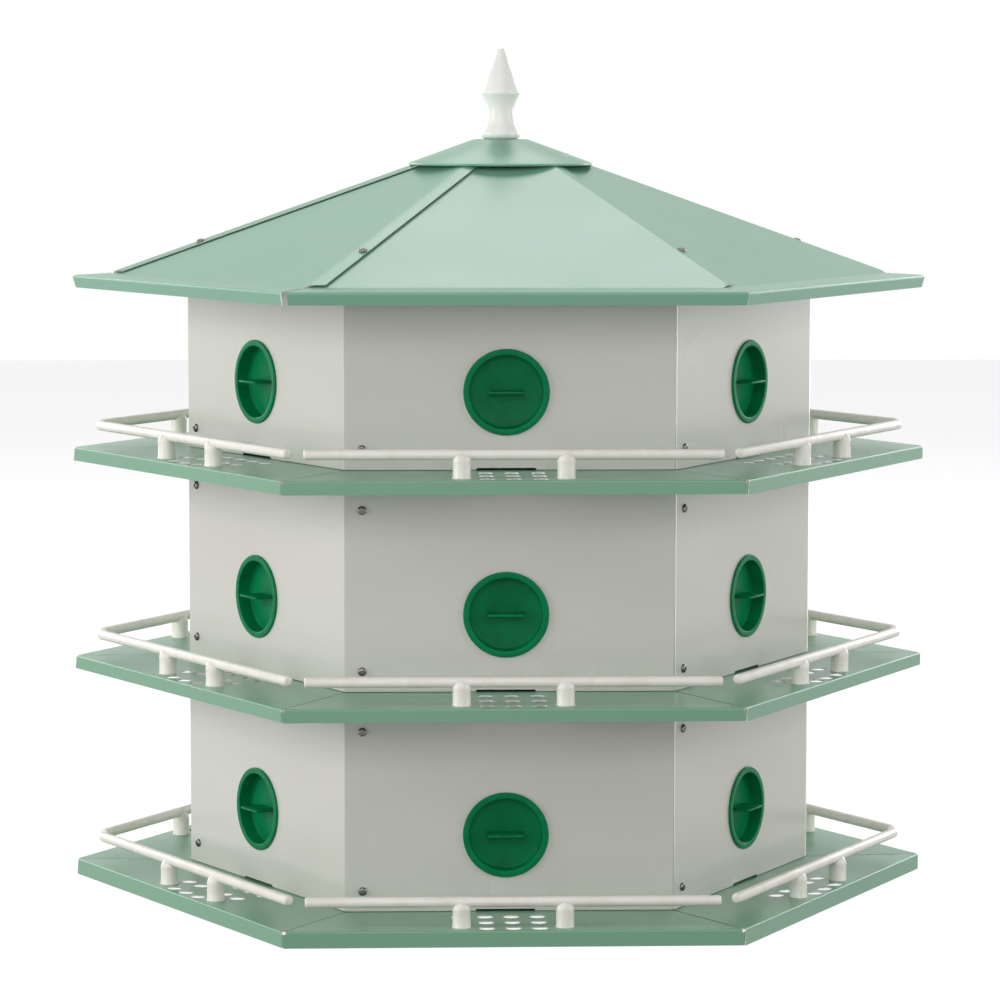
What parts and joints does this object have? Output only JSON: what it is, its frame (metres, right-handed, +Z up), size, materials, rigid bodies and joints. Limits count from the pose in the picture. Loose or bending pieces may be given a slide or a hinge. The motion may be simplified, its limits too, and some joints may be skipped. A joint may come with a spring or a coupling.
{
  "type": "purple martin birdhouse",
  "caption": "Tiered hexagonal aluminium martin house with porches, railings, plugged round entrances and a hipped roof with a finial.",
  "frame": {"origin": "on the pole's axis, in the plane that the lowest tray edges rest on", "axes": "+Z up along the pole, -Y out of the front wall, +X to the front wall's right"},
  "size_m": [0.626, 0.5422, 0.608],
  "materials": {
    "wall_enamel": "semi-gloss baked enamel on aluminium sheet",
    "tray_enamel": "glossy sea-green baked enamel on aluminium sheet",
    "roof_enamel": "satin sea-green baked enamel on aluminium sheet",
    "rail_plastic": "moulded off-white plastic",
    "plug_plastic": "glossy moulded dark green plastic",
    "finial_plastic": "glossy white plastic",
    "bare_aluminium": "mill finish"
  },
  "bodies": {
    "root": {"lower_front_wall": "wall_enamel", "lower_right_front_wall": "wall_enamel", "lower_right_back_wall": "wall_enamel", "lower_back_wall": "wall_enamel", "lower_left_back_wall": "wall_enamel", "lower_left_front_wall": "wall_enamel", "middle_front_wall": "wall_enamel", "middle_right_front_wall": "wall_enamel", "middle_right_back_wall": "wall_enamel", "middle_back_wall": "wall_enamel", "middle_left_back_wall": "wall_enamel", "middle_left_front_wall": "wall_enamel", "upper_front_wall": "wall_enamel", "upper_right_front_wall": "wall_enamel", "upper_right_back_wall": "wall_enamel", "upper_back_wall": "wall_enamel", "upper_left_back_wall": "wall_enamel", "upper_left_front_wall": "wall_enamel", "lower_trays_a": "tray_enamel", "lower_trays_b": "tray_enamel", "middle_trays_a": "tray_enamel", "middle_trays_b": "tray_enamel", "upper_trays_a": "tray_enamel", "upper_trays_b": "tray_enamel", "lower_railings": "rail_plastic", "middle_railings": "rail_plastic", "upper_railings": "rail_plastic", "lower_plugs_a": "plug_plastic", "lower_plugs_b": "plug_plastic", "middle_plugs_a": "plug_plastic", "middle_plugs_b": "plug_plastic", "upper_plugs_a": "plug_plastic", "upper_plugs_b": "plug_plastic", "front_roof_panel": "roof_enamel", "right_front_roof_panel": "roof_enamel", "right_back_roof_panel": "roof_enamel", "back_roof_panel": "roof_enamel", "left_back_roof_panel": "roof_enamel", "left_front_roof_panel": "roof_enamel", "roof_cap": "roof_enamel", "finial": "finial_plastic", "pole_sleeve": "bare_aluminium"}
  },
  "joints": []
}
